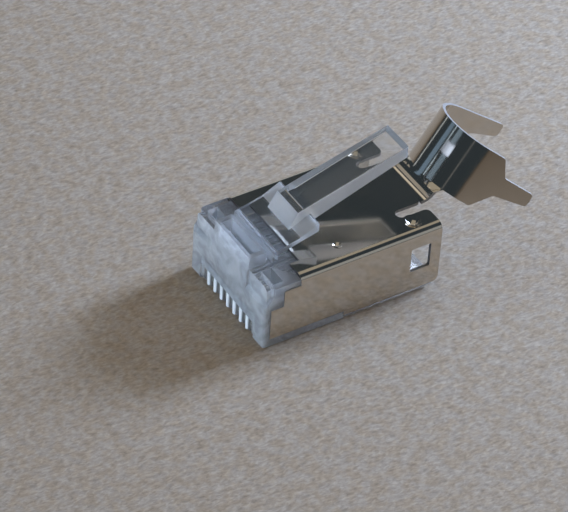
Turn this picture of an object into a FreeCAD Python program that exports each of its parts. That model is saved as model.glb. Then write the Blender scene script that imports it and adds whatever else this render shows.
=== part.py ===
import FreeCAD, Part
import math
import os

# Shielded eight-way modular plug with a crimp collar, in millimetres.
# X runs across the plug, Y from the nose to the cable, Z from the contact side
# up to the latch side.  The pieces are drawn with y = 0 at the nose; at the end they
# move so that the origin is on the resting face, origin_back behind the nose.

V = FreeCAD.Vector
ACROSS = V(1, 0, 0)
past = 1.0                  # how far a cutting tool runs beyond what it cuts
sliver = 0.01               # overlap of pieces that are joined into one

# ---- plug body -------------------------------------------------------------
plug_width = 11.68          # over the shield
plug_height = 6.60          # contact side to the top of the shield
sheet = 0.30                # shield sheet
fit_gap = 0.03              # shield to housing, all round
flush_step = 0.04           # the nose stands this much inside the shield's faces
origin_back = 6.00

# ---- shield ----------------------------------------------------------------
shield_rear = 17.10         # rear edge of the shield
bend_radius = 0.40          # inside radius of its two long bends
top_front = 3.36            # front edge of the top plate
side_foot = 0.45            # lower edge of each side, above the resting face
side_corner = 0.55          # rounding of each side's lower rear corner
relief_half = 3.95          # half width of the latch relief in the top plate
relief_rear = 4.25
window_front = 14.16
window_length = 1.93
window_foot = 2.50
window_height = 2.46
window_corner = 0.15
dimple_across = 4.50        # large dimples near the rear corners of the top plate
dimple_back = 2.08
dimple_radius = 0.85
dimple_depth = 0.33
pip_across = 3.90           # small locating pips further forward
pip_back = 9.15
pip_radius = 0.62
pip_depth = 0.14

# ---- neck and crimp collar -------------------------------------------------
neck_width = 5.10
neck_slot = 1.00            # slot beside the neck
neck_slot_length = 2.85     # slot end, ahead of the rear edge
ear_corner = 0.50
neck_run = 0.16             # flat run of the neck behind the shield's rear edge
neck_bend_radius = 1.20     # upper face of the neck
collar_tilt = 54.0          # degrees up from the cable direction
collar_inner_radius = 3.88
neck_flare = 0.47           # neck end to the full round of the collar
collar_length = 5.53        # neck end to the collar's rim
near_wrap = 57.0            # degrees from the spine to where the +X wing leaves
far_wrap = 96.5             # and the -X wing
wing_foot_run = 1.15        # straight run of a wing's foot before it narrows
wing_rim_run = 1.50         # and of its rim
wing_narrow = 2.45          # where the finger begins
wing_corner = 0.32          # rounding of the wings' corners and fingertips
finger_root_width = 1.80
finger_tip_width = 1.20
near_finger_drop = 1.47     # rim to the +X finger; the -X one lies along the rim, so they interleave
near_wing_reach = 5.35
far_wing_reach = 5.40

# ---- housing ---------------------------------------------------------------
nose_rim = 0.58             # full-width rim at the mating end
lead_in_depth = 0.66        # lead-in slope on the nose
lead_in_height = 0.94
block_height = 1.00         # front face of the shoulder blocks, above the slope
nose_corner = 0.30          # rounding of the nose's vertical corners
shoulder_corner = 0.35      # and of the shoulder blocks' front corners
foot_corner = 0.22          # rounding along the foot of the nose
shoulder_depth = 0.59       # shoulder blocks beside the latch
key_depth = 1.61            # side keys in the shield's front notches, below the blocks
key_length = 1.20
flange_rear = 7.75          # bottom flange under the shield's sides
flange_height = 0.92
roof_rear = 13.80           # rear end of the roof and side walls
floor_rear = 16.70
floor_thickness = 1.00
wall_thickness = 0.75
roof_thickness = 0.85
cavity_front = 8.20         # where the cable cavity has narrowed to the wire channels
cavity_throat = 10.80
bar_window_front = 8.90     # window in the floor round the wire clamp bar
bar_window_length = 2.00
bar_window_half = 3.90
bar_slit = 0.25             # open slit round the bar
bar_foot = 0.12
bar_height = 1.15
bar_lean = 0.30             # the bar narrows upwards by this much
bar_web = 0.28              # thickness of the web that the bar hangs on
brow_half = 2.70            # half width of the raised brow ahead of the latch
brow_height = 1.18          # above the housing's roof
brow_slope = 0.28           # how far the brow leans back
brow_wall = 0.28            # walls round the pocket in the brow
brow_rear = 1.87
pocket_half = 2.25
pocket_depth = 1.85
root_gap = 0.42             # open groove between the brow and the latch's root
shoulder_pocket_x = (3.35, 5.20)
shoulder_pocket_y = (1.05, 1.98)
shoulder_pocket_depth = 1.57
comb_recess = 0.14          # the comb of slot walls stands this far behind the nose
comb_margin = 0.45
comb_round = 0.40           # rounding of the slot walls at their foot

# ---- contacts and their slots ----------------------------------------------
contact_count = 8
contact_pitch = 1.02
blade_thickness = 0.32
slot_gap = 0.05             # blade to slot wall, each side
slot_top = 2.45             # slot height on the nose
slot_length = 3.30
blade_front = 0.30
blade_length = 2.85
blade_foot = 0.12           # contact edge, not yet pressed home
blade_height = 2.30
blade_nose_radius = 0.55
tooth_height = 0.60
tooth_notch = 0.55
channel_radius = 0.44
channel_floor_gap = 0.10    # blade teeth to wire channel before crimping
channel_front = 1.00

# ---- latch -----------------------------------------------------------------
latch_width = 6.02
lever_width = 3.25
hinge_y = 2.78
hinge_rise = 0.99           # hinge axis above the housing's roof
hinge_gap = 0.03            # between the two halves of the living hinge
hinge_thickness = 0.46
plate_angle = 13.5
plate_run = 2.12            # hinge to the foot of the outer ramps
lock_y = 6.70
lock_rise = 0.74            # foot of the locking faces above the hinge axis
lock_height = 0.90
ramp_angle = 59.5           # front of the lever
ramp_inset = 0.32           # lever's ramp starts this far ahead of the outer ramps
lever_rise = 1.38           # crest of the ramp above the foot of the locking faces
lever_tip_y = 15.95
lever_slope = 15.3          # degrees
lever_tip_thickness = 1.15
lever_root_thickness = 1.80
lever_back = 0.75           # lock face to the full depth of the lever
latch_edge = 0.12           # rounding of the latch's long edges

# ---- worked-out values -----------------------------------------------------
half_width = plug_width / 2
nose_half = half_width - flush_step
core_half = half_width - sheet - fit_gap
core_top = plug_height - sheet - fit_gap
hinge_radius = hinge_thickness / 2
slot_width = blade_thickness + 2 * slot_gap
blade_top = blade_foot + blade_height
channel_z = blade_top + tooth_height + channel_floor_gap + channel_radius
root_front = brow_rear + root_gap
lead_in_top = core_top - block_height
lead_in_foot = lead_in_top - lead_in_height
brow_top = core_top + brow_height
hinge_z = core_top + hinge_rise
lock_foot = hinge_z + lock_rise
lever_crest = lock_foot + lever_rise
shoulder_rear = top_front - fit_gap
shoulder_foot = core_top - shoulder_depth
key_foot = shoulder_foot - key_depth
key_rear = nose_rim + key_length
channel_floor = channel_z - channel_radius
collar_outer_radius = collar_inner_radius + sheet
bend_start = shield_rear + neck_run
tilt = math.radians(collar_tilt)
neck_tangent = neck_bend_radius * math.tan(tilt / 2)
ALONG = V(0, math.cos(tilt), math.sin(tilt))       # along the collar's axis
OUTWARD = V(0, -math.sin(tilt), math.cos(tilt))    # from the axis to the spine
neck_end = V(0, bend_start + neck_tangent, plug_height) + ALONG * neck_tangent
axis_foot = neck_end - OUTWARD * collar_outer_radius


def box(x, y, z):
    return Part.makeBox(x[1] - x[0], y[1] - y[0], z[1] - z[0], V(x[0], y[0], z[0]))


def prism(profile, x0, x1):
    """A closed (y, z) outline run from x0 to x1."""
    corners = [V(x0, y, z) for y, z in profile]
    face = Part.Face(Part.makePolygon(corners + corners[:1]))
    return face.extrude(ACROSS * (x1 - x0))


def rounded(solid, radius, wanted):
    """Fillet the edges for which wanted(edge middle, edge direction) is true."""
    chosen = []
    for edge in solid.Edges:
        if len(edge.Vertexes) < 2:
            continue
        run = edge.Vertexes[1].Point - edge.Vertexes[0].Point
        if run.Length < 1e-6:
            continue
        if wanted((edge.Vertexes[0].Point + edge.Vertexes[1].Point) / 2, run.normalize()):
            chosen.append(edge)
    return solid.makeFillet(radius, chosen)


def both_sides(shape):
    """The shape and its mirror image across the middle plane."""
    return [shape, shape.mirror(V(0, 0, 0), ACROSS)]


def contact_places():
    first = -contact_pitch * (contact_count - 1) / 2
    return [first + number * contact_pitch for number in range(contact_count)]


# ---- housing ---------------------------------------------------------------
def flank_outline():
    """Side view of everything that comes out to the shield's outer faces."""
    return [(0, 0), (0, lead_in_foot), (lead_in_depth, lead_in_top),
            (lead_in_depth, core_top), (shoulder_rear, core_top),
            (shoulder_rear, shoulder_foot), (key_rear, shoulder_foot),
            (key_rear, key_foot), (nose_rim, key_foot), (nose_rim, flange_height),
            (flange_rear, flange_height), (flange_rear, 0)]


def housing_blank():
    flank = prism(flank_outline(), -nose_half, nose_half)
    flank = rounded(flank, nose_corner, lambda p, d: abs(d.z) > 0.99 and p.y < sliver)
    flank = rounded(flank, foot_corner, lambda p, d: abs(d.x) > 0.99 and p.y < sliver and p.z < sliver)
    flank = rounded(flank, shoulder_corner,
                    lambda p, d: abs(d.z) > 0.99 and abs(p.y - lead_in_depth) < sliver and p.z > lead_in_top)
    core = box((-core_half, core_half), (nose_rim / 2, roof_rear), (0, core_top))
    corner = bend_radius + fit_gap
    core = rounded(core, corner, lambda p, d: abs(d.y) > 0.99 and p.z > core_top - sliver)
    floor = box((-core_half, core_half), (nose_rim, floor_rear), (0, floor_thickness))
    brow = prism([(0, lead_in_foot), (brow_slope, brow_top), (brow_rear, brow_top),
                  (brow_rear, lead_in_foot)], -brow_half, brow_half)
    return flank.multiFuse([core, floor, brow, root_stub()])


def root_stub():
    """The housing's half of the living hinge: a post that ends in a hollow round."""
    lean = hinge_radius - (hinge_y - root_front) * math.tan(math.radians(plate_angle))
    post = prism([(root_front, core_top - sheet), (root_front, hinge_z + lean),
                  (hinge_y, hinge_z + hinge_radius), (hinge_y, core_top - sheet)],
                 -latch_width / 2, latch_width / 2)
    bed = Part.makeCylinder(hinge_radius + hinge_gap, 2 * latch_width,
                            V(-latch_width, hinge_y, hinge_z), ACROSS)
    return post.cut(bed)


def cable_cavity():
    """Open to the rear, it narrows in height and width towards the wire channels."""
    inner = core_half - wall_thickness
    ceiling = core_top - roof_thickness
    rear = box((-inner, inner), (cavity_throat, floor_rear + past), (floor_thickness, ceiling))
    channel_half = contact_pitch * contact_count / 2

    def ring(y, half, foot, head):
        corners = [V(-half, y, foot), V(half, y, foot), V(half, y, head), V(-half, y, head)]
        return Part.makePolygon(corners + corners[:1])

    throat = Part.makeLoft([ring(cavity_throat + sliver, inner, floor_thickness, ceiling),
                            ring(cavity_front, channel_half, channel_floor, channel_z + channel_radius)],
                           True, True)
    channels = [Part.makeCylinder(channel_radius, cavity_front - channel_front + sliver,
                                  V(x, channel_front, channel_z), V(0, 1, 0))
                for x in contact_places()]
    return [rear, throat] + channels


def bar_window():
    """The opening in the floor that leaves the wire clamp bar free to be pushed in."""
    return box((-bar_window_half, bar_window_half),
               (bar_window_front, bar_window_front + bar_window_length), (-past, channel_floor))


def clamp_bar():
    """The bar that the crimp pushes onto the wires, with the thin web that it hangs on."""
    half = bar_window_half - bar_slit
    front = bar_window_front + bar_slit
    rear = bar_window_front + bar_window_length - bar_slit
    head = bar_foot + bar_height
    bar = prism([(front, bar_foot), (rear, bar_foot), (rear - bar_lean, head), (front, head)], -half, half)
    web = box((-half, half), (bar_window_front - bar_slit, front + sliver), (head - bar_web, head))
    return bar.fuse(web)


def comb_recess_cuts():
    """Sets the slot walls back from the nose and rounds them at their foot."""
    half = contact_places()[-1] + slot_width / 2 + comb_margin
    across = (-half, half)
    corner = box(across, (comb_recess, comb_recess + comb_round), (0, comb_round))
    turned = Part.makeCylinder(comb_round, 2 * half, V(-half, comb_recess + comb_round, comb_round), ACROSS)
    return [box(across, (-past, comb_recess), (-past, slot_top)), corner.cut(turned)]


def pip_seats():
    """Hollows under the shield's locating pips."""
    return both_sides(Part.makeSphere(pip_radius + sheet + fit_gap, pip_centre()))


def housing():
    cuts = cable_cavity()
    cuts.append(box((-pocket_half, pocket_half), (brow_slope + brow_wall, brow_rear - brow_wall),
                    (brow_top - pocket_depth, brow_top + past)))
    cuts += both_sides(box(shoulder_pocket_x, shoulder_pocket_y,
                           (core_top - shoulder_pocket_depth, core_top + past)))
    cuts += comb_recess_cuts() + pip_seats() + [bar_window()]
    for x in contact_places():
        side = slot_width / 2
        cuts.append(box((x - side, x + side), (-past, slot_length), (-past, slot_top)))
        cuts.append(box((x - side, x + side), (blade_front, slot_length), (-past, channel_z)))
    return housing_blank().cut(cuts).fuse(clamp_bar()).removeSplitter()


# ---- contacts --------------------------------------------------------------
def contact(x):
    """A blade with a round contact corner and three piercing teeth."""
    rear = blade_front + blade_length
    foot, head = blade_foot, blade_top
    tooth_run = blade_length / 3
    outline = [V(0, rear, head), V(0, rear, foot), V(0, blade_front + blade_nose_radius, foot)]
    edges = [Part.makeLine(outline[0], outline[1]), Part.makeLine(outline[1], outline[2])]
    turn = blade_nose_radius * (1 - math.sqrt(0.5))
    corner = Part.Arc(outline[2], V(0, blade_front + turn, foot + turn),
                      V(0, blade_front, foot + blade_nose_radius))
    edges.append(corner.toShape())
    last = V(0, blade_front, foot + blade_nose_radius)
    for tooth in range(3):
        start = blade_front + tooth * tooth_run
        points = [V(0, start, head), V(0, start + tooth_run / 2, head + tooth_height)]
        if tooth < 2:
            points.append(V(0, start + tooth_run, head - tooth_notch + tooth_height / 2))
        for point in points:
            if (point - last).Length > 1e-6:
                edges.append(Part.makeLine(last, point))
            last = point
    edges.append(Part.makeLine(last, outline[0]))
    face = Part.Face(Part.Wire(edges))
    blade = face.extrude(ACROSS * blade_thickness)
    blade.translate(V(x - blade_thickness / 2, 0, 0))
    return blade


# ---- shield ----------------------------------------------------------------
def folded_cover():
    """Top plate and two sides: an arch section run along the plug."""
    inner = half_width - sheet
    outer_radius = bend_radius + sheet
    head = plug_height
    outer = rounded(box((-half_width, half_width), (0, shield_rear), (side_foot, head)), outer_radius,
                    lambda p, d: abs(d.y) > 0.99 and p.z > head - sliver)
    void = rounded(box((-inner, inner), (-past, shield_rear + past), (side_foot - past, head - sheet)),
                   bend_radius, lambda p, d: abs(d.y) > 0.99 and p.z > head - sheet - sliver)
    return outer.cut(void)


def side_trim():
    """What the sides leave free for the housing's rim, keys, blocks and flange."""
    gap = fit_gap
    return prism([(-past, -past), (-past, plug_height + past), (top_front, plug_height + past),
                  (top_front, shoulder_foot - gap), (key_rear + gap, shoulder_foot - gap),
                  (key_rear + gap, key_foot - gap), (nose_rim + gap, key_foot - gap),
                  (nose_rim + gap, flange_height + gap), (flange_rear + gap, flange_height + gap),
                  (flange_rear + gap, -past)], -plug_width, plug_width)


def rounded_window():
    far = window_front + window_length
    window = box((-plug_width, plug_width), (window_front, far), (window_foot, window_foot + window_height))
    return rounded(window, window_corner, lambda p, d: abs(d.x) > 0.99)


def through_top():
    """Heights between which a tool cuts right through the top plate."""
    return (plug_height - sheet - past, plug_height + past)


def neck_slot_cut():
    """The slot between the neck and one ear, with a round end."""
    inner = neck_width / 2
    radius = neck_slot / 2
    end = shield_rear - neck_slot_length + radius
    straight = box((inner, inner + neck_slot), (end, shield_rear + past), through_top())
    round_end = Part.makeCylinder(radius, sheet + 2 * past, V(inner + radius, end, through_top()[0]))
    return straight.fuse(round_end)


def pip_centre():
    return V(pip_across, shield_rear - pip_back, plug_height + pip_radius - pip_depth)


def dimple_centre():
    return V(dimple_across, shield_rear - dimple_back, plug_height + dimple_radius - dimple_depth)


def pressed(sheet_solid, centre, radius, keep):
    """Press a ball into the sheet: cut its hollow, and add the skin that it pushes in."""
    ball = Part.makeSphere(radius, centre)
    skin = Part.makeSphere(radius + sheet, centre).cut(ball).common(keep)
    return sheet_solid.cut(ball).fuse(skin)


def inside_cover():
    """The space under the shield's outer faces, corners rounded as they are."""
    block = box((-half_width, half_width), (0, shield_rear), (side_foot, plug_height))
    return rounded(block, bend_radius + sheet,
                   lambda p, d: abs(d.y) > 0.99 and p.z > plug_height - sliver)


def neck():
    """A flat run behind the rear edge, and the bend up through the collar's tilt."""
    half = neck_width / 2
    run = box((-half, half), (shield_rear - sliver, bend_start), (plug_height - sheet, plug_height))
    centre = V(0, bend_start, plug_height + neck_bend_radius)
    low = [V(-half, bend_start, plug_height - sheet), V(half, bend_start, plug_height - sheet),
           V(half, bend_start, plug_height), V(-half, bend_start, plug_height)]
    section = Part.Face(Part.makePolygon(low + low[:1]))
    return run.fuse(section.revolve(centre, ACROSS, collar_tilt))


def ring_point(radius, degrees, along):
    """A point on the collar: degrees from the spine towards +X, and distance along the axis."""
    angle = math.radians(degrees)
    return (axis_foot + OUTWARD * (radius * math.cos(angle)) + ACROSS * (radius * math.sin(angle))
            + ALONG * along)


def neck_flare_piece():
    """From the flat neck to the round of the collar."""
    half = neck_width / 2
    down = OUTWARD * -sheet
    left, right = neck_end - ACROSS * half, neck_end + ACROSS * half
    flat = Part.Wire([Part.makeLine(left, right), Part.makeLine(right, right + down),
                      Part.makeLine(right + down, left + down), Part.makeLine(left + down, left)])
    spread = math.degrees(math.asin(half / collar_outer_radius))
    upper = [ring_point(collar_outer_radius, a, neck_flare) for a in (-spread, 0, spread)]
    lower = [ring_point(collar_inner_radius, a, neck_flare) for a in (spread, 0, -spread)]
    curved = Part.Wire([Part.Arc(*upper).toShape(), Part.makeLine(upper[2], lower[0]),
                        Part.Arc(*lower).toShape(), Part.makeLine(lower[2], upper[0])])
    return Part.makeLoft([flat, curved], True, True)


def wing_direction(degrees):
    """The way a wing runs on from the round, for a turn of so many degrees from the spine."""
    angle = math.radians(degrees)
    side = 1 if degrees > 0 else -1
    return (OUTWARD * -math.sin(angle) + ACROSS * math.cos(angle)) * side


def collar_round():
    """The round of the collar between the two wings."""
    middle = (near_wrap - far_wrap) / 2
    outer = [ring_point(collar_outer_radius, a, neck_flare) for a in (-far_wrap, middle, near_wrap)]
    inner = [ring_point(collar_inner_radius, a, neck_flare) for a in (near_wrap, middle, -far_wrap)]
    section = Part.Face(Part.Wire([Part.Arc(*outer).toShape(), Part.makeLine(outer[2], inner[0]),
                                   Part.Arc(*inner).toShape(), Part.makeLine(inner[2], outer[0])]))
    return section.extrude(ALONG * (collar_length - neck_flare))


def wing(degrees, reach, finger_drop):
    """A crimp wing: a wide root that narrows to a tapered finger, finger_drop short of the rim."""
    run = wing_direction(degrees)
    base = ring_point(collar_outer_radius, degrees, 0)
    inward = ring_point(collar_inner_radius, degrees, 0) - base
    head = collar_length - finger_drop
    outline = [(0, collar_length), (0, neck_flare), (wing_foot_run, neck_flare),
               (wing_narrow, head - finger_root_width), (reach, head - finger_tip_width), (reach, head)]
    if finger_drop > 0:
        outline += [(wing_narrow, head), (wing_rim_run, collar_length)]
    corners = [base + run * out + ALONG * along for out, along in outline]
    solid = Part.Face(Part.makePolygon(corners + corners[:1])).extrude(inward)
    inward.normalize()
    return rounded(solid, wing_corner,
                   lambda p, d: abs(d.dot(inward)) > 0.99 and (p - base).dot(run) > sliver)


def shield():
    cover = folded_cover().cut([side_trim(), rounded_window()] + both_sides(neck_slot_cut()))
    cover = cover.cut(box((-relief_half, relief_half), (0, relief_rear), through_top()))
    cover = rounded(cover, side_corner,
                    lambda p, d: abs(d.x) > 0.99 and p.y > shield_rear - sliver and p.z < side_foot + sliver)
    cover = rounded(cover, ear_corner,
                    lambda p, d: abs(d.z) > 0.99 and p.y > shield_rear - sliver and p.z > plug_height - sheet)
    keep = inside_cover()
    for centre, radius in ((dimple_centre(), dimple_radius), (pip_centre(), pip_radius)):
        mirrored = V(-centre.x, centre.y, centre.z)
        cover = pressed(pressed(cover, centre, radius, keep), mirrored, radius, keep)
    near = wing(near_wrap, near_wing_reach, near_finger_drop)
    far = wing(-far_wrap, far_wing_reach, 0)
    return cover.multiFuse([neck(), neck_flare_piece(), collar_round(), near, far]).removeSplitter()


# ---- latch -----------------------------------------------------------------
def latch():
    """A hinge plate with two locking shoulders, and the lever that releases them."""
    slope = math.radians(plate_angle)
    across_plate = V(0, -math.sin(slope), math.cos(slope)) * hinge_radius
    hinge = V(0, hinge_y, hinge_z)
    upper, lower = hinge + across_plate, hinge - across_plate
    ramp_foot = V(0, hinge_y + plate_run, upper.z + (hinge_y + plate_run - upper.y) * math.tan(slope))
    crest = lock_foot + lock_height
    plate = prism([(upper.y, upper.z), (ramp_foot.y, ramp_foot.z), (lock_y, crest), (lock_y, lock_foot),
                   (lower.y, lower.z)], -latch_width / 2, latch_width / 2)
    plate = rounded(plate, latch_edge, lambda p, d: p.y > lock_y - sliver)
    knuckle = Part.makeCylinder(hinge_radius, latch_width, V(-latch_width / 2, hinge_y, hinge_z), ACROSS)
    lever_foot_y = ramp_foot.y - ramp_inset
    lever_foot_z = ramp_foot.z - ramp_inset * math.tan(slope)
    crest_y = lever_foot_y + (lever_crest - lever_foot_z) / math.tan(math.radians(ramp_angle))
    tip_top = lever_crest + (lever_tip_y - crest_y) * math.tan(math.radians(lever_slope))
    heel_y = lock_y + lever_back
    heel_top = lever_crest + (heel_y - crest_y) * math.tan(math.radians(lever_slope))
    lever = prism([(lever_foot_y, lever_foot_z - hinge_radius), (lever_foot_y, lever_foot_z),
                   (crest_y, lever_crest), (lever_tip_y, tip_top),
                   (lever_tip_y, tip_top - lever_tip_thickness),
                   (heel_y, heel_top - lever_root_thickness), (lock_y - lever_back, lock_foot)],
                  -lever_width / 2, lever_width / 2)
    lever = rounded(lever, latch_edge,
                    lambda p, d: p.y > crest_y - sliver and abs(d.x) < 0.5 and p.z > lever_crest)
    return plate.multiFuse([knuckle, lever]).removeSplitter()


def pieces():
    made = {"housing": housing(), "latch": latch(), "shield": shield()}
    for number, x in enumerate(contact_places(), start=1):
        made["contact_%d" % number] = contact(x)
    return made


os.makedirs("parts", exist_ok=True)
for name, shape in pieces().items():
    shape.translate(V(0, -origin_back, 0))
    print(name, "solids", len(shape.Solids), "valid", shape.isValid(), "volume %.3f" % shape.Volume)
    shape.exportStep("parts/%s.step" % name)
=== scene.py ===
import math

import bmesh
import bpy
import numpy as np
from mathutils import Matrix, Vector
from mathutils.bvhtree import BVHTree


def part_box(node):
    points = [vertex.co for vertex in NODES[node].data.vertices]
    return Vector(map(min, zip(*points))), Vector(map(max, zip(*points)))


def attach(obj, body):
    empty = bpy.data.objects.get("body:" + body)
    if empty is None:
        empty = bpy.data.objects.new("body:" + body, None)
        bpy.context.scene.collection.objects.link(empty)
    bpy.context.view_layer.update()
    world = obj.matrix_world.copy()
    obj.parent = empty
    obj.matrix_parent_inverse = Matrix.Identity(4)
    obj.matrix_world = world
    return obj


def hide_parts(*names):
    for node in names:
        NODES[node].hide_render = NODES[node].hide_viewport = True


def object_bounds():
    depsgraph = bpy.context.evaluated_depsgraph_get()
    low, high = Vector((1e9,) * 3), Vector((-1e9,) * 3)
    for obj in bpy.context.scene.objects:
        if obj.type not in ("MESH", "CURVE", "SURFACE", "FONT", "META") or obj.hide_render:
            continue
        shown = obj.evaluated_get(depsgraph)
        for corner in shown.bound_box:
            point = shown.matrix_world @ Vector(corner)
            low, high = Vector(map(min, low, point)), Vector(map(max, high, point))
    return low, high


# Shielded eight-way modular plug with a crimp collar.  Metres, in the CAD frame:
# X across the plug, Y from the nose to the cable, Z from the contact side to the latch side.

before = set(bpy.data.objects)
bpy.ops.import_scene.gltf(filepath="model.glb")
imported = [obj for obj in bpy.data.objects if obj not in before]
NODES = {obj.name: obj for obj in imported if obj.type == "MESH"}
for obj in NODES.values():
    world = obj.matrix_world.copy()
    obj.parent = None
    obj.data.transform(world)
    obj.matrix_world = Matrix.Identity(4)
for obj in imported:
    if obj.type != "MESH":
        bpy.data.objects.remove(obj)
cad_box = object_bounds()
MM = 0.001
CONTACTS = sorted(name for name in NODES if name.startswith("contact_"))
nose_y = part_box("housing")[0][1]

# ---- edge rounding of the dressed pieces -----------------------------------
moulded_edge = 0.045 * MM
sheet_edge = 0.035 * MM
merge_distance = 0.0008 * MM
flat_angle = math.radians(0.4)
crease_angle = math.radians(32)
sheet_depth = 0.42 * MM         # a shield face with more metal than this behind it is a cut edge

# ---- which faces take which finish -----------------------------------------
# places in the list of materials of the housing, the latch and the shield
body_face, milky_face, nose_face, pocket_face = range(4)
lever_face, frosted_face = range(2)
cut_face = 1
hazy_length = 2.45 * MM         # the nose block is hazier than the body behind it
flank_x = 5.2 * MM              # the housing's outermost faces lie beyond this
front_depth = 0.8 * MM          # and its front faces lie within this of the nose
pocket_floor = 6.2 * MM         # the floors of the nose's pockets lie below this
# a face looks outwards, forwards, upwards or back when its normal reaches these shares of one
looks_outward = 0.9
looks_forward = 0.3
looks_upward = 0.5
lever_across = 0.6
lever_back = 0.8
lever_forward = 0.35

# ---- surface patterns, in cycles to the metre ------------------------------
wave_scale = 420.0
hairline_scale = 5200.0
hairline_stretch = 0.12         # the hairlines run this much slower along the part
cloud_scale = 620.0
tarnish_scale = 260.0
shear_scale = 3200.0
wash_scale = 900.0
fibre_scale = 3500.0
fibre_stretch = 0.45
fibre_bearings = (20, 110)      # degrees
blotch_scale = 900.0
fibre_share = 0.80              # of the paper's tone, the rest is blotches
blotch_share = 0.20

# ---- plastic and paper -----------------------------------------------------
polycarbonate_index = 1.585
plastic_waviness = 1.0
plastic_hairlines = 0.008
plastic_shade = (0.70, 0.71, 0.72, 1)   # what a lamp's light keeps on its way through
paper_relief = 0.10 * MM

# ---- front of the contact slots --------------------------------------------
contact_pitch = 1.02 * MM
comb_depth = 0.14 * MM          # the slot walls stand this far behind the nose face
comb_half = 4.22 * MM
comb_top = 2.45 * MM
lip_foot = 1.62 * MM            # the panel over the slots comes down to here
lip_face = 0.02 * MM            # and stands this far behind the nose face
lip_round = 0.08 * MM
lip_points = 5
rib_half = 0.19 * MM            # rounded fronts of the walls between the slots
rib_foot = 0.16 * MM
rib_swell = 0.11 * MM
rib_points = 13
comb_edge = lip_round / 4

# ---- light -----------------------------------------------------------------
key_direction = Vector((-0.05, 0.90, 0.43))
key_distance = 0.25
key_light = 2.62                # irradiance on the floor, W/m2
key_width = 0.065
key_colour = (0.57, 0.71, 1.0)
# two suns that leave no glints; the second is window light for what is milky or matt
fill_direction = Vector((0.15, -0.25, 1.0))
fill_light = 0.48
fill_spread = math.radians(170)
fill_colour = (1.0, 0.60, 0.22)
front_direction = Vector((-0.25, -0.96, 0.0))
front_light = 8.4
front_spread = math.radians(16)
front_colour = (0.66, 0.82, 1.0)
lamp_distance = 0.36
world_colour = (0.036, 0.049, 0.062, 1)
# soft boxes: bearing from the part, width, height, radiance, colour
soft_boxes = {
    "ceiling": ((-0.046, 0.045, 0.36), 0.290, 0.468, 0.38, (1.0, 0.90, 0.72)),
    "wall_near": ((-0.618, -0.23, 0.74), 0.122, 0.10, 0.36, (1.0, 0.92, 0.82)),
    "wall_far": ((-0.618, 0.20, 0.75), 0.072, 0.10, 0.36, (1.0, 0.92, 0.82)),
    "side_card": ((0.85, 0.42, 0.35), 0.20, 0.20, 0.34, (0.94, 0.97, 1.0)),
    "rear_high": ((-0.12, 0.76, 0.66), 0.12, 0.12, 1.0, (0.82, 0.92, 1.0)),
    "rear_wall": ((0.50, 0.83, 0.22), 0.28, 0.10, 0.60, (0.96, 0.98, 1.0)),
    "left_wall": ((-0.95, 0.22, 0.20), 0.20, 0.11, 0.60, (0.90, 0.96, 1.0)),
    "window_left": ((-0.88, -0.46, 0.06), 0.012, 0.22, 1.0, (0.80, 0.90, 1.0)),
    "window_low": ((-0.58, -0.77, 0.25), 0.075, 0.075, 0.34, (0.42, 0.66, 1.0)),
    "window_mid": ((-0.40, -0.85, 0.32), 0.014, 0.060, 1.1, (0.60, 0.78, 1.0)),
    "window_front": ((-0.14, -0.91, 0.36), 0.080, 0.055, 0.42, (0.50, 0.72, 1.0)),
    "desk_edge": ((0.55, -0.79, 0.27), 0.012, 0.16, 0.16, (1.0, 1.0, 1.0)),
}

# ---- floor and camera ------------------------------------------------------
floor_half = 1.6
camera_place = Vector((171.5, -111.3, 187.58)) * MM + Vector((0, nose_y, 0))
camera_right = Vector((0.524, 0.850, 0.051))
camera_up = Vector((-0.586, 0.316, 0.746))
camera_lens = 212.6
camera_sensor = 36.0


# ---- node helpers ----------------------------------------------------------
def add_node(tree, kind, values=None, **settings):
    """A node of this kind, with its settings and its unlinked sockets' values."""
    node = tree.nodes.new(kind)
    for name, value in settings.items():
        setattr(node, name, value)
    for name, value in (values or {}).items():
        node.inputs[name].default_value = value
    return node


def math_node(tree, operation, first, second=None):
    """One Math node; each operand is a socket or a number."""
    node = add_node(tree, "ShaderNodeMath", operation=operation)
    for index, operand in enumerate((first, second)):
        if isinstance(operand, bpy.types.NodeSocket):
            tree.links.new(operand, node.inputs[index])
        elif operand is not None:
            node.inputs[index].default_value = operand
    return node.outputs[0]


def noise_at(tree, position, scale, detail, distortion=0.0):
    """The value of a noise read at this position."""
    noise = add_node(tree, "ShaderNodeTexNoise",
                     {"Scale": scale, "Detail": detail, "Distortion": distortion})
    tree.links.new(position, noise.inputs["Vector"])
    return noise.outputs["Fac"]


def tone_ramp(tree, factor, dark, pale, low=0.0, high=1.0):
    """A colour that goes from dark, where the factor is low, to pale, where it is high."""
    ramp = add_node(tree, "ShaderNodeValToRGB")
    elements = ramp.color_ramp.elements
    for index, (position, tone) in enumerate(((low, dark), (high, pale))):
        elements[index].position = position
        elements[index].color = (*tone, 1)
    tree.links.new(factor, ramp.inputs["Fac"])
    return ramp.outputs["Color"]


def bumped(tree, height, distance, strength=1.0):
    """A normal tilted by the slope of this height, which is worth the distance at 1."""
    bump = add_node(tree, "ShaderNodeBump", {"Strength": strength, "Distance": distance})
    tree.links.new(height, bump.inputs["Height"])
    return bump.outputs["Normal"]


def new_group(name, inputs, outputs):
    """A shader node group with named sockets: {name: (kind, default)} and {name: kind}."""
    tree = bpy.data.node_groups.new(name, "ShaderNodeTree")
    for label, (kind, default) in inputs.items():
        socket = tree.interface.new_socket(label, in_out="INPUT", socket_type=kind)
        if default is not None:
            socket.default_value = default
    for label, kind in outputs.items():
        tree.interface.new_socket(label, in_out="OUTPUT", socket_type=kind)
    return tree, tree.nodes.new("NodeGroupInput"), tree.nodes.new("NodeGroupOutput")


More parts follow.
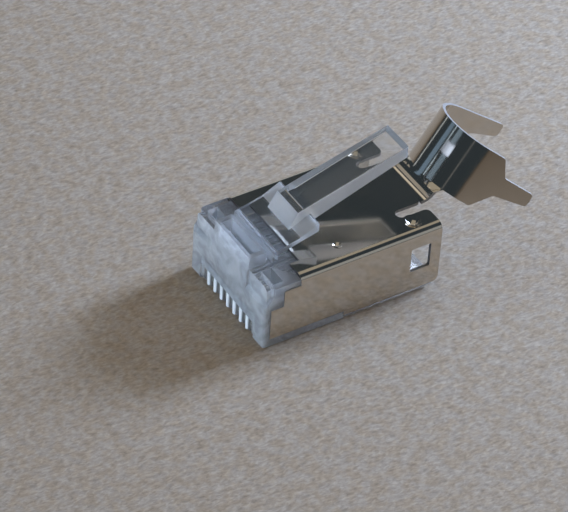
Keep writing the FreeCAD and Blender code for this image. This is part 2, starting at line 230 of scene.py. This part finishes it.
def handled_surface_group():
    """Fine scratches and a slow change of gloss.

    Roughness = Base + Spread * (soft noise); Height = Wave * (the same soft noise), a slow
    waviness of the surface, + Grain * (fine noise stretched along the part), the hairlines.
    """
    tree, inside, outside = new_group(
        "handled_surface",
        {"Position": ("NodeSocketVector", None), "Base": ("NodeSocketFloat", 0.1),
         "Spread": ("NodeSocketFloat", 0.1), "Wave": ("NodeSocketFloat", 0.3),
         "Grain": ("NodeSocketFloat", 0.2)},
        {"Roughness": "NodeSocketFloat", "Height": "NodeSocketFloat"})
    link = tree.links.new
    position = inside.outputs["Position"]
    stretch = add_node(tree, "ShaderNodeMapping", {"Scale": (1.0, hairline_stretch, 1.0)})
    link(position, stretch.inputs["Vector"])
    slow = noise_at(tree, position, wave_scale, detail=3.0)
    fine = noise_at(tree, stretch.outputs["Vector"], hairline_scale, detail=4.0)
    uneven = math_node(tree, "MULTIPLY", slow, inside.outputs["Spread"])
    link(math_node(tree, "ADD", inside.outputs["Base"], uneven), outside.inputs["Roughness"])
    wave = math_node(tree, "MULTIPLY", slow, inside.outputs["Wave"])
    grain = math_node(tree, "MULTIPLY", fine, inside.outputs["Grain"])
    link(math_node(tree, "ADD", wave, grain), outside.inputs["Height"])
    return tree


HANDLED = handled_surface_group()


def blank_material(name):
    """A node material with its output, and Object coordinates ready to use."""
    material = bpy.data.materials.new(name)
    material.use_nodes = True
    tree = material.node_tree
    tree.nodes.clear()
    output = tree.nodes.new("ShaderNodeOutputMaterial")
    place = add_node(tree, "ShaderNodeTexCoord")
    return material, tree, output, place.outputs["Object"]


def place_handled(tree, position, base, spread, wave, grain):
    """The handled surface in a material, with that material's own values."""
    node = add_node(tree, "ShaderNodeGroup", {"Base": base, "Spread": spread, "Wave": wave,
                                              "Grain": grain}, node_tree=HANDLED)
    tree.links.new(position, node.inputs["Position"])
    return node


# ---- clear plastic ---------------------------------------------------------
def clear_plastic(name, tint, base, spread, clearness, wave_depth, glow_depth, mottle=0.93):
    """Moulded polycarbonate; lamps shine through it.  Clearness below 1 leaves some milkiness,
    and light that enters the milky part comes out again within the glow depth.  The tint
    falls to the mottle share of itself in slow clouds."""
    material, tree, output, position = blank_material(name)
    link = tree.links.new
    skin = place_handled(tree, position, base, spread, plastic_waviness, plastic_hairlines)
    shader = add_node(tree, "ShaderNodeBsdfPrincipled",
                      {"IOR": polycarbonate_index, "Transmission Weight": clearness,
                       "Subsurface Weight": 1.0, "Subsurface Radius": (1.0, 1.0, 1.0),
                       "Subsurface Scale": glow_depth})
    clouds = noise_at(tree, position, cloud_scale, detail=3.0, distortion=1.4)
    clouded = [mottle * channel for channel in tint]
    tone = tone_ramp(tree, clouds, clouded, tint, low=0.35, high=0.65)
    link(tone, shader.inputs["Base Color"])
    link(skin.outputs["Roughness"], shader.inputs["Roughness"])
    link(bumped(tree, skin.outputs["Height"], wave_depth), shader.inputs["Normal"])
    lamp_light = add_node(tree, "ShaderNodeBsdfTransparent", {"Color": plastic_shade})
    path = tree.nodes.new("ShaderNodeLightPath")
    mix = tree.nodes.new("ShaderNodeMixShader")
    link(path.outputs["Is Shadow Ray"], mix.inputs["Fac"])
    link(shader.outputs["BSDF"], mix.inputs[1])
    link(lamp_light.outputs["BSDF"], mix.inputs[2])
    link(mix.outputs["Shader"], output.inputs["Surface"])
    return material


# ---- metals ----------------------------------------------------------------
def metal(name, base, spread, wave, grain, relief, scale, detail, dark, pale):
    """A metal with the handled surface, whose colour wanders from dark to pale."""
    material, tree, output, position = blank_material(name)
    link = tree.links.new
    skin = place_handled(tree, position, base, spread, wave, grain)
    shader = add_node(tree, "ShaderNodeBsdfPrincipled", {"Metallic": 1.0})
    tone = tone_ramp(tree, noise_at(tree, position, scale, detail), dark, pale)
    link(tone, shader.inputs["Base Color"])
    link(skin.outputs["Roughness"], shader.inputs["Roughness"])
    link(bumped(tree, skin.outputs["Height"], relief), shader.inputs["Normal"])
    link(shader.outputs["BSDF"], output.inputs["Surface"])
    return material


def nickel_plate():
    """Bright plate on sheet: a mirror with faint hairlines and a slow waviness."""
    return metal("nickel_plate", base=0.05, spread=0.11, wave=0.8, grain=0.10,
                 relief=0.004 * MM, scale=tarnish_scale, detail=4.0,
                 dark=(0.60, 0.545, 0.465), pale=(0.72, 0.655, 0.565))


def cut_metal():
    """The sheared edges of the sheet: bare, grey and dull beside the plate."""
    return metal("cut_metal", base=0.42, spread=0.20, wave=0.4, grain=1.0,
                 relief=0.006 * MM, scale=shear_scale, detail=3.0,
                 dark=(0.26, 0.25, 0.24), pale=(0.40, 0.39, 0.38))


def contact_plate():
    """Bright gold-washed bronze with fine rolling lines."""
    return metal("contact_plate", base=0.16, spread=0.12, wave=0.3, grain=0.5,
                 relief=0.003 * MM, scale=wash_scale, detail=3.0,
                 dark=(0.86, 0.80, 0.68), pale=(0.93, 0.90, 0.84))


# ---- floor -----------------------------------------------------------------
def fibre_group():
    """Soft paper fibres lying two ways: the larger of two noises, each stretched along its own
    line."""
    tree, inside, outside = new_group("paper_fibres", {"Position": ("NodeSocketVector", None)},
                                      {"Fibres": "NodeSocketFloat"})
    ways = []
    for bearing in fibre_bearings:
        lay = add_node(tree, "ShaderNodeMapping", {"Rotation": (0, 0, math.radians(bearing)),
                                                   "Scale": (1.0, fibre_stretch, 1.0)})
        tree.links.new(inside.outputs["Position"], lay.inputs["Vector"])
        ways.append(noise_at(tree, lay.outputs["Vector"], fibre_scale, detail=4.0,
                             distortion=0.4))
    tree.links.new(math_node(tree, "MAXIMUM", *ways), outside.inputs["Fibres"])
    return tree


def pale_paper():
    """Uncoated warm grey paper: short soft fibres in colour and relief over slow brown
    blotches.  Tone = fibre share * fibres + blotch share * blotches, and a faint brown stain
    that follows the blotches multiplies it."""
    material, tree, output, position = blank_material("pale_paper")
    link = tree.links.new
    paper_fibres = add_node(tree, "ShaderNodeGroup", node_tree=fibre_group())
    link(position, paper_fibres.inputs["Position"])
    fibres = paper_fibres.outputs["Fibres"]
    blotches = noise_at(tree, position, blotch_scale, detail=5.0)
    both = math_node(tree, "ADD", math_node(tree, "MULTIPLY", fibres, fibre_share),
                     math_node(tree, "MULTIPLY", blotches, blotch_share))
    tone = tone_ramp(tree, both, dark=(0.262, 0.231, 0.188), pale=(0.500, 0.444, 0.366),
                     low=0.36, high=0.72)
    stain = tone_ramp(tree, blotches, dark=(1.0, 0.95, 0.88), pale=(0.97, 0.98, 1.0),
                      low=0.40, high=0.60)
    # a Mix node's two colours are its inputs 6 and 7, and their mix is its output 2
    stained = add_node(tree, "ShaderNodeMix", data_type="RGBA", blend_type="MULTIPLY")
    stained.inputs["Factor"].default_value = 1.0
    link(tone, stained.inputs[6])
    link(stain, stained.inputs[7])
    shader = add_node(tree, "ShaderNodeBsdfPrincipled",
                      {"Roughness": 0.9, "Specular IOR Level": 0.15})
    link(stained.outputs[2], shader.inputs["Base Color"])
    link(bumped(tree, fibres, paper_relief, strength=0.6), shader.inputs["Normal"])
    link(shader.outputs["BSDF"], output.inputs["Surface"])
    return material


# ---- dressed copies --------------------------------------------------------
def mark_cut_edges(work):
    """Faces with a long run of metal behind them are cut edges of the sheet."""
    solid = BVHTree.FromBMesh(work)
    for face in work.faces:
        start = face.calc_center_median() - face.normal * merge_distance
        depth = solid.ray_cast(start, -face.normal)[3]
        if depth and depth > sheet_depth:
            face.material_index = cut_face


def joined_copy(node, of_sheet):
    """A copy of a CAD node's mesh, joined up and with its flat faces made whole."""
    mesh = bpy.data.meshes.new(node + "_dressed")
    work = bmesh.new()
    work.from_mesh(NODES[node].data)
    bmesh.ops.remove_doubles(work, verts=work.verts, dist=merge_distance)
    bmesh.ops.dissolve_degenerate(work, edges=work.edges, dist=merge_distance)
    if of_sheet:
        mark_cut_edges(work)
    bmesh.ops.dissolve_limit(work, angle_limit=flat_angle, verts=work.verts, edges=work.edges)
    work.to_mesh(mesh)
    work.free()
    piece = bpy.data.objects.new(node + "_dressed", mesh)
    bpy.context.scene.collection.objects.link(piece)
    return piece


def finish_edges(piece, width):
    """Rounded edges, then normals that keep the flats flat."""
    bevel = piece.modifiers.new("edges", "BEVEL")
    bevel.width = width
    bevel.segments = 2
    bevel.limit_method = "ANGLE"
    bevel.angle_limit = crease_angle
    bevel.use_clamp_overlap = True
    for polygon in piece.data.polygons:
        polygon.use_smooth = True
    normals = piece.modifiers.new("flats", "WEIGHTED_NORMAL")
    normals.keep_sharp = False
    normals.weight = 80


def nose_finish(polygon):
    """Milky on the nose's front and outer sides and on the foot rails, glassy on the floors of
    its pockets and a little hazy on everything else near the front."""
    normal, middle = polygon.normal, polygon.center
    outermost = abs(normal.x) > looks_outward and abs(middle.x) > flank_x
    at_front = normal.y < -looks_forward and middle.y < nose_y + front_depth
    if outermost or at_front:
        return milky_face
    if middle.y > nose_y + hazy_length:
        return body_face
    on_floor = normal.z > looks_upward and middle.z < pocket_floor
    return pocket_face if on_floor else nose_face


def lever_finish(polygon):
    """Frosted on the faces that look across the plug, on the tip and on the catch's ramps."""
    normal = polygon.normal
    lengthwise = normal.y > lever_back or normal.y < -lever_forward
    return frosted_face if abs(normal.x) > lever_across or lengthwise else lever_face


def dressed(node, body, width, materials, finish=None, of_sheet=False):
    """A dressed copy in place of a CAD node; finish gives the number of each face's material,
    and the cut edges of a piece of sheet take its second one."""
    piece = joined_copy(node, of_sheet)
    for material in materials:
        piece.data.materials.append(material)
    if finish:
        for polygon in piece.data.polygons:
            polygon.material_index = finish(polygon)
    finish_edges(piece, width)
    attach(piece, body)
    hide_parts(node)


def give_material(node, material):
    """A CAD node that is shown as it is takes the material in each of its slots."""
    for index in range(len(NODES[node].material_slots)):
        NODES[node].material_slots[index].material = material


# ---- front of the slots ----------------------------------------------------
def swept(name, outline, run, material):
    """A closed outline carried along the vector run, with both ends closed."""
    count = len(outline)
    points = np.concatenate([np.array(outline), np.array(outline) + np.array(run)])
    sides = [(i, (i + 1) % count, count + (i + 1) % count, count + i) for i in range(count)]
    ends = [tuple(reversed(range(count))), tuple(range(count, 2 * count))]
    mesh = bpy.data.meshes.new(name)
    mesh.from_pydata(points.tolist(), [], sides + ends)
    turned = bmesh.new()
    turned.from_mesh(mesh)
    bmesh.ops.recalc_face_normals(turned, faces=turned.faces)
    turned.to_mesh(mesh)
    turned.free()
    mesh.materials.append(material)
    piece = bpy.data.objects.new(name, mesh)
    bpy.context.scene.collection.objects.link(piece)
    finish_edges(piece, comb_edge)
    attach(piece, "body")


def slot_lip(material):
    """The panel over the slots' upper half: a strip whose front lower edge is a quarter round."""
    face, back = nose_y + lip_face, nose_y + comb_depth
    turn = np.linspace(0, math.pi / 2, lip_points)
    around = np.column_stack((np.full(lip_points, -comb_half),
                              face + lip_round * (1 - np.cos(turn)),
                              lip_foot + lip_round * (1 - np.sin(turn))))
    outline = np.vstack(((-comb_half, back, comb_top), (-comb_half, face, comb_top), around,
                         (-comb_half, back, lip_foot)))
    swept("slot_lip", outline, (2 * comb_half, 0, 0), material)


def slot_ribs(material):
    """Half-elliptical fronts on the seven walls between the slots."""
    back = nose_y + comb_depth
    turn = np.linspace(-math.pi / 2, math.pi / 2, rib_points)
    for number in range(len(CONTACTS) - 1):
        middle = contact_pitch * (number - (len(CONTACTS) - 2) / 2)
        outline = np.column_stack((middle + rib_half * np.sin(turn),
                                   back - rib_swell * np.cos(turn),
                                   np.full(rib_points, rib_foot)))
        swept("slot_rib_%d" % (number + 1), outline, (0, 0, lip_foot - rib_foot), material)


# ---- stage -----------------------------------------------------------------
def floor():
    """A flat square sheet at the height of the part's resting face."""
    corners = np.array([(-1, -1, 0), (1, -1, 0), (1, 1, 0), (-1, 1, 0)], float) * floor_half
    corners[:, 2] = cad_box[0][2]
    mesh = bpy.data.meshes.new("floor")
    mesh.from_pydata(corners.tolist(), [], [(0, 1, 2, 3)])
    sheet = bpy.data.objects.new("floor", mesh)
    bpy.context.scene.collection.objects.link(sheet)
    mesh.materials.append(pale_paper())


def place_lamp(name, lamp, direction, seen, distance=lamp_distance):
    """A lamp on this bearing from the part, turned to it; unseen ones leave no glints."""
    holder = bpy.data.objects.new(name, lamp)
    holder.location = direction.normalized() * distance
    holder.rotation_euler = direction.to_track_quat("Z", "Y").to_euler()
    holder.visible_glossy = seen
    holder.visible_transmission = seen
    bpy.context.scene.collection.objects.link(holder)


def soft_box(name, direction, width, height, radiance, colour, distance=lamp_distance):
    """A flat rectangular light of even radiance: power = pi * area * radiance."""
    lamp = bpy.data.lights.new(name, "AREA")
    lamp.shape = "RECTANGLE"
    lamp.size = width
    lamp.size_y = height
    lamp.energy = math.pi * width * height * radiance
    lamp.color = colour
    place_lamp(name, lamp, direction, True, distance)


def unseen_sun(name, direction, strength, spread, colour):
    """Soft daylight that leaves no glints."""
    sun = bpy.data.lights.new(name, "SUN")
    sun.energy = strength
    sun.angle = spread
    sun.color = colour
    place_lamp(name, sun, direction, False)


def lights():
    """The key lamp, the soft boxes, the two suns and the studio's own dim colour.

    The key's radiance = irradiance * distance squared / (its area * the sine of its climb).
    """
    climb = key_direction.normalized().z
    key_radiance = key_light * key_distance ** 2 / (climb * key_width ** 2)
    soft_box("key", key_direction, key_width, key_width, key_radiance, key_colour, key_distance)
    for name, (direction, width, height, radiance, colour) in soft_boxes.items():
        soft_box(name, Vector(direction), width, height, radiance, colour)
    unseen_sun("fill", fill_direction, fill_light, fill_spread, fill_colour)
    unseen_sun("front", front_direction, front_light, front_spread, front_colour)
    world = bpy.data.worlds.new("studio")
    world.use_nodes = True
    world.node_tree.nodes["Background"].inputs["Color"].default_value = world_colour
    bpy.context.scene.world = world


def camera():
    """The camera, placed by its position and by the directions to its right and upwards."""
    data = bpy.data.cameras.new("camera")
    data.lens = camera_lens
    data.sensor_width = camera_sensor
    data.clip_start = 0.01
    data.clip_end = 10
    holder = bpy.data.objects.new("camera", data)
    ahead = camera_up.cross(camera_right).normalized()
    turn = Matrix((camera_right, camera_up, -ahead)).transposed()
    holder.matrix_world = Matrix.Translation(camera_place) @ turn.to_4x4()
    bpy.context.scene.collection.objects.link(holder)
    bpy.context.scene.camera = holder


# ---- the plug --------------------------------------------------------------
camera()
lights()
floor()
bpy.context.scene.view_settings.view_transform = "Standard"

housing_clear = clear_plastic("clear_polycarbonate", tint=(0.94, 0.95, 0.97), base=0.02,
                              spread=0.04, clearness=0.92, wave_depth=0.006 * MM,
                              glow_depth=1.5 * MM)
hazy = clear_plastic("hazy_polycarbonate", tint=(0.88, 0.93, 1.0), base=0.06, spread=0.20,
                     clearness=0.72, wave_depth=0.03 * MM, glow_depth=1.5 * MM, mottle=0.66)
rib_plastic = clear_plastic("rib_polycarbonate", tint=(0.93, 0.96, 1.0), base=0.10,
                            spread=0.10, clearness=0.25, wave_depth=0.005 * MM,
                            glow_depth=0.4 * MM)
latch_clear = clear_plastic("latch_polycarbonate", tint=(0.96, 0.98, 1.0), base=0.02,
                            spread=0.04, clearness=0.985, wave_depth=0.006 * MM,
                            glow_depth=1.5 * MM)
latch_flank = clear_plastic("latch_flank_polycarbonate", tint=(0.92, 0.95, 1.0), base=0.26,
                            spread=0.20, clearness=0.86, wave_depth=0.015 * MM,
                            glow_depth=1.5 * MM)
nose_clear = clear_plastic("nose_polycarbonate", tint=(0.94, 0.95, 0.97), base=0.04,
                           spread=0.06, clearness=0.87, wave_depth=0.006 * MM,
                           glow_depth=1.5 * MM)

dressed("housing", "body", moulded_edge,
        (housing_clear, hazy, nose_clear, latch_clear), nose_finish)
slot_lip(hazy)
slot_ribs(rib_plastic)
dressed("latch", "latch_lever", moulded_edge, (latch_clear, latch_flank),
        lever_finish)
dressed("shield", "body", sheet_edge, (nickel_plate(), cut_metal()),
        of_sheet=True)
blade_finish = contact_plate()
for name in CONTACTS:
    give_material(name, blade_finish)
